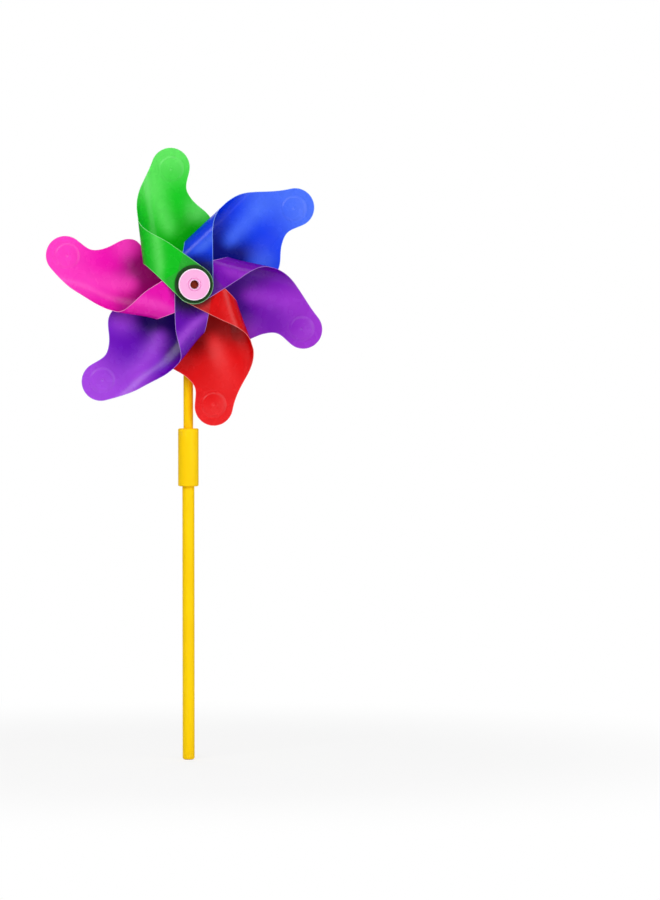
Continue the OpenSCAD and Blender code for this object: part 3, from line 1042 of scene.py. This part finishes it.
def bending_tree():
    """Bends a flat blank round its loop and stands it on the wheel."""
    sizes = ["Tight radius", "Easy radius", "Ease angle", "Nose reach", "Turn", "Hub height", "Loop middle",
             "Bulge", "Bulge start", "Bulge end"]
    group, nodes, given, result = new_group(
        "Bent blade",
        "GeometryNodeTree",
        [("Geometry", "NodeSocketGeometry", None), ("Material", "NodeSocketMaterial", None)]
        + [(label, "NodeSocketFloat", 0.0) for label in sizes],
        [("Geometry", "NodeSocketGeometry")],
    )
    math_ = nodes.math
    place = nodes.add("GeometryNodeInputPosition")
    parts = nodes.add("ShaderNodeSeparateXYZ", {"Vector": place}).node
    along, across, outwards = parts.outputs
    distance = math_("ABSOLUTE", along)
    side = math_("SIGN", along)
    tight, easy, ease = given["Tight radius"], given["Easy radius"], given["Ease angle"]
    tight_angle = math_("SUBTRACT", math.pi / 2, ease)
    tight_length = math_("MULTIPLY", tight, tight_angle)
    easy_length = math_("MULTIPLY", easy, ease)

    on_tight = math_("MINIMUM", distance, tight_length)
    past_tight = math_("SUBTRACT", distance, tight_length)
    on_easy = nodes.clamp(past_tight, 0.0, easy_length)
    on_flat = math_("MAXIMUM", math_("SUBTRACT", past_tight, easy_length), 0.0)
    first = math_("DIVIDE", on_tight, tight)
    angle = math_("ADD", first, math_("DIVIDE", on_easy, easy))
    sin_first, cos_first = math_("SINE", first), math_("COSINE", first)
    sin_angle, cos_angle = math_("SINE", angle), math_("COSINE", angle)

    in_tight = math_("MULTIPLY", tight, math_("SUBTRACT", 1.0, cos_first))
    in_easy = math_("MULTIPLY", easy, math_("SUBTRACT", cos_first, cos_angle))
    inwards = math_("MULTIPLY_ADD", on_flat, sin_angle, math_("ADD", in_tight, in_easy))
    back_tight = math_("MULTIPLY", tight, sin_first)
    back_easy = math_("MULTIPLY", easy, math_("SUBTRACT", sin_angle, sin_first))
    back = math_("MULTIPLY_ADD", on_flat, cos_angle, math_("ADD", back_tight, back_easy))

    nose = math_("SUBTRACT", inwards, given["Nose reach"])
    sheet_x = math_("SUBTRACT", nose, math_("MULTIPLY", outwards, cos_angle))
    sheet_y = math_("MULTIPLY", side, math_("MULTIPLY_ADD", outwards, sin_angle, back))
    rise = nodes.smooth_step(across, given["Bulge start"], given["Bulge end"])
    fall = nodes.smooth_step(across, given["Bulge end"], math_("ADD", given["Bulge end"], BULGE_FADE))
    near_bend = nodes.smooth_step(math_("MULTIPLY", sheet_x, -1.0), 0.0, given["Nose reach"])
    share = math_("MULTIPLY", math_("SUBTRACT", rise, fall), near_bend)
    bulge = math_("MULTIPLY", share, given["Bulge"])
    sheet_x = math_("SUBTRACT", sheet_x, bulge)

    sin_turn, cos_turn = math_("SINE", given["Turn"]), math_("COSINE", given["Turn"])
    world_x = math_(
        "SUBTRACT", math_("MULTIPLY", sheet_x, cos_turn), math_("MULTIPLY", across, sin_turn)
    )
    turned_z = math_("ADD", math_("MULTIPLY", sheet_x, sin_turn), math_("MULTIPLY", across, cos_turn))
    world_y = math_("SUBTRACT", sheet_y, given["Loop middle"])
    world_z = math_("ADD", turned_z, given["Hub height"])
    bent = nodes.add("ShaderNodeCombineXYZ", {"X": world_x, "Y": world_y, "Z": world_z})
    moved = nodes.add("GeometryNodeSetPosition", {"Geometry": given["Geometry"], "Position": bent})
    real = nodes.add("GeometryNodeRealizeInstances", {"Geometry": moved})
    done = nodes.add("GeometryNodeSetMaterial", {"Geometry": real, "Material": given["Material"]})
    nodes.link(result, Geometry=done)
    return group


def set_input(modifier, label, value):
    """Sets a Geometry Nodes modifier's input by its name."""
    for item in modifier.node_group.interface.items_tree:
        if item.name == label and item.in_out == "INPUT":
            modifier[item.identifier] = value
            return
    raise KeyError(label)


def make_blade(blade, tree, film, cut):
    bend = Bend(blade)
    blank = new_piece(f"{blade.colour}_blank", flat_blank(blade, bend))
    bending = blank.modifiers.new("Bend", "NODES")
    bending.node_group = tree
    values = {
        "Material": film,
        "Tight radius": bend.tight_r * MM,
        "Easy radius": bend.easy_r * MM,
        "Ease angle": BEND_EASE,
        "Nose reach": bend.reach * MM,
        "Turn": math.radians(blade.turn),
        "Hub height": hub_z * MM,
        "Loop middle": loop_mid * MM,
        "Bulge": blade.bulge * MM,
        "Bulge start": blade.bend_low * MM,
        "Bulge end": (blade.bend_top + BULGE_ABOVE) * MM,
    }
    for label, value in values.items():
        set_input(bending, label, value)
    bent = baked(blank, f"{blade.colour}_bent")
    bent.data.materials.clear()
    bent.data.materials.append(film)
    bent.data.materials.append(cut)
    wall = bent.modifiers.new("Wall", "SOLIDIFY")
    wall.thickness = sheet_t * MM
    wall.offset = 0
    wall.use_even_offset = False
    wall.material_offset_rim = 1
    piece = baked(bent, f"{blade.colour}_blade")
    piece.data.set_sharp_from_angle(angle=CRISP_EDGE)
    finish_piece(piece, f"blade_{blade.colour}", "wheel")


# Each sheet's dye, the colours of its painted shade and painted highlight, its glow, and the painted
# highlight on its cut edge
SHEET_COLOURS = {
    "green": [(10, 206, 32), (0, 182, 4), (112, 238, 110), (20, 235, 50), (170, 245, 175)],
    "blue": [(0, 64, 236), (0, 0, 84), (84, 130, 248), (20, 95, 255), (160, 200, 255)],
    "purple": [(128, 0, 186), (80, 0, 142), (178, 58, 222), (150, 10, 215), (210, 160, 240)],
    "red": [(222, 0, 6), (112, 0, 4), (236, 38, 42), (255, 20, 30), (255, 160, 160)],
    "violet": [(114, 0, 190), (16, 0, 50), (188, 80, 238), (135, 30, 225), (205, 170, 245)],
    "magenta": [(240, 6, 192), (122, 0, 102), (253, 70, 212), (255, 40, 200), (255, 180, 235)],
}


def make_blades():
    tree = bending_tree()
    for blade in BLADES:
        dye, deep, pale, glow, edge = [linear(*shown) for shown in SHEET_COLOURS[blade.colour]]
        film = sheet(f"{blade.colour.title()} sheet", dye, deep, pale, glow, edge)
        # The cut edge's faces take the edge colour, a painted highlight
        cut = plastic(f"{blade.colour.title()} cut edge", edge, glow, 0.4, scuffs=0.0)
        make_blade(blade, tree, film, cut)


def finish_head_and_clip():
    """The head and the clip keep their shapes from the frame and get their surfaces."""
    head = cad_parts["pole_head"]
    head.data.materials.clear()
    head.data.materials.append(YELLOW_MOULDED)
    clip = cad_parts["retaining_clip"]
    clip.data.materials.clear()
    clip.data.materials.append(STEEL)


# ---------------------------------------------------------------- floor, light and camera

# The round floor's rings, in metres, and the points of each
FLOOR_RADII = (0.3, 1.0, 3.0, 12.0)
FLOOR_COUNT = 64


def make_stage():
    """Pale paper floor, white to the camera further out, that still takes the object's shadow."""
    material, nodes, output = new_material("Studio paper")
    place = nodes.add("ShaderNodeTexCoord", output="Object")
    away = nodes.add("ShaderNodeVectorMath", {0: place}, output="Value", operation="LENGTH")
    far = nodes.smooth_step(away, 0.2, 0.6)
    grain = nodes.noise(place, 300.0)
    paper = nodes.mix_colour(grain, (0.86, 0.86, 0.86, 1.0), (0.9, 0.9, 0.9, 1.0))
    matt = nodes.add("ShaderNodeBsdfPrincipled", {"Base Color": paper, "Roughness": 0.9})
    white = nodes.add("ShaderNodeEmission", {"Color": (1.0, 1.0, 1.0, 1.0), "Strength": 1.0})
    paths = nodes.add("ShaderNodeLightPath").node.outputs
    seen = nodes.math("MAXIMUM", paths["Is Camera Ray"], paths["Is Transmission Ray"])
    lift = nodes.math("MULTIPLY", seen, nodes.math("MULTIPLY_ADD", far, 0.25, 0.75))
    nodes.link(output.inputs, Surface=nodes.mix_shader(lift, matt, white))

    shape = bmesh.new()
    rims = []
    for radius in FLOOR_RADII:
        angles = [math.tau * k / FLOOR_COUNT for k in range(FLOOR_COUNT)]
        rims.append([shape.verts.new((radius * math.cos(a), radius * math.sin(a), 0)) for a in angles])
    shape.faces.new(rims[0])
    for inner, outer in zip(rims, rims[1:]):
        for k in range(FLOOR_COUNT):
            ahead = (k + 1) % FLOOR_COUNT
            shape.faces.new([inner[k], outer[k], outer[ahead], inner[ahead]])
    mesh = bpy.data.meshes.new("studio_floor")
    shape.to_mesh(mesh)
    shape.free()
    new_piece("studio_floor", mesh, material)


# Light of the surroundings in front of the object and behind it
AIR_IN_FRONT = 0.06
AIR_BEHIND = 0.34


def make_air():
    """The studio round the object: white to the camera and behind the object, dimmer in front of it."""
    world = bpy.data.worlds.new("Studio air")
    world.use_nodes = True
    tree = world.node_tree
    tree.nodes.clear()
    nodes = Nodes(tree)
    towards = nodes.add("ShaderNodeTexCoord", output="Generated")
    forwards = nodes.add("ShaderNodeSeparateXYZ", {"Vector": towards}, output="Y")
    behind = nodes.smooth_step(forwards, -0.75, 0.1)
    paths = nodes.add("ShaderNodeLightPath").node.outputs
    shown = nodes.math("MAXIMUM", paths["Is Camera Ray"], paths["Is Transmission Ray"])
    mirrored = nodes.math("MULTIPLY", paths["Is Glossy Ray"], behind)
    white = nodes.math("MAXIMUM", shown, nodes.math("MULTIPLY", mirrored, 0.2))
    ambient = nodes.math("MULTIPLY_ADD", behind, AIR_BEHIND - AIR_IN_FRONT, AIR_IN_FRONT)
    strength = nodes.add("ShaderNodeMix", {"Factor": white, 2: ambient, 3: 1.0})
    air = nodes.add("ShaderNodeBackground", {"Color": (1.0, 1.0, 1.0, 1.0), "Strength": strength})
    end = tree.nodes.new("ShaderNodeOutputWorld")
    nodes.link(end.inputs, Surface=air)
    bpy.context.scene.world = world


def add_soft_light(name, place, aim, size, power):
    data = bpy.data.lights.new(name, "AREA")
    data.shape = "RECTANGLE"
    data.size, data.size_y = size
    data.energy = power
    light = bpy.data.objects.new(name, data)
    bpy.context.scene.collection.objects.link(light)
    light.location = place
    light.rotation_euler = (Vector(aim) - Vector(place)).to_track_quat("-Z", "Y").to_euler()
    light.visible_camera = False
    return light


def make_lights():
    hub = Vector((0, -loop_mid, hub_z)) * MM
    add_soft_light("Key light", (-1.03, -1.65, 1.42), hub, (1.1, 1.1), 24)
    add_soft_light("Side light", (1.29, -1.77, 0.62), hub, (1.1, 1.6), 16)
    add_soft_light("Top light", (0.25, -1.76, 1.69), hub, (1.5, 0.8), 11)
    add_soft_light("Back light", (0.0, 1.3, 1.3), hub, (1.6, 1.4), 9)


def make_camera():
    """Long lens, a little to the left of the wheel's axle, with the object left of the frame's middle."""
    azimuth = math.radians(-8)
    distance = 4.0
    frame_height = 0.7434
    right_of_hub, below_hub = 0.1110, 0.1358
    look = Vector((-math.sin(azimuth), math.cos(azimuth), 0))
    right = Vector((math.cos(azimuth), math.sin(azimuth), 0))
    hub = Vector((0, -ring_front, hub_z)) * MM
    aim = hub + right * right_of_hub - Vector((0, 0, below_hub))
    data = bpy.data.cameras.new("Studio camera")
    camera = bpy.data.objects.new("Studio camera", data)
    bpy.context.scene.collection.objects.link(camera)
    camera.location = hub - look * distance
    towards = aim - camera.location
    camera.rotation_euler = towards.to_track_quat("-Z", "Y").to_euler()
    data.lens = data.sensor_width * (towards.length + loop_mid * MM) / frame_height
    data.clip_start, data.clip_end = 0.1, 30
    bpy.context.scene.camera = camera


make_camera()
make_stage()
make_air()
make_lights()
make_lower_pole()
make_coupler()
make_upper_pole()
finish_head_and_clip()
make_axle()
make_bush()
make_rear_flange()
make_spool()
make_front_cap()
make_blades()

bpy.context.scene.view_settings.view_transform = "Standard"
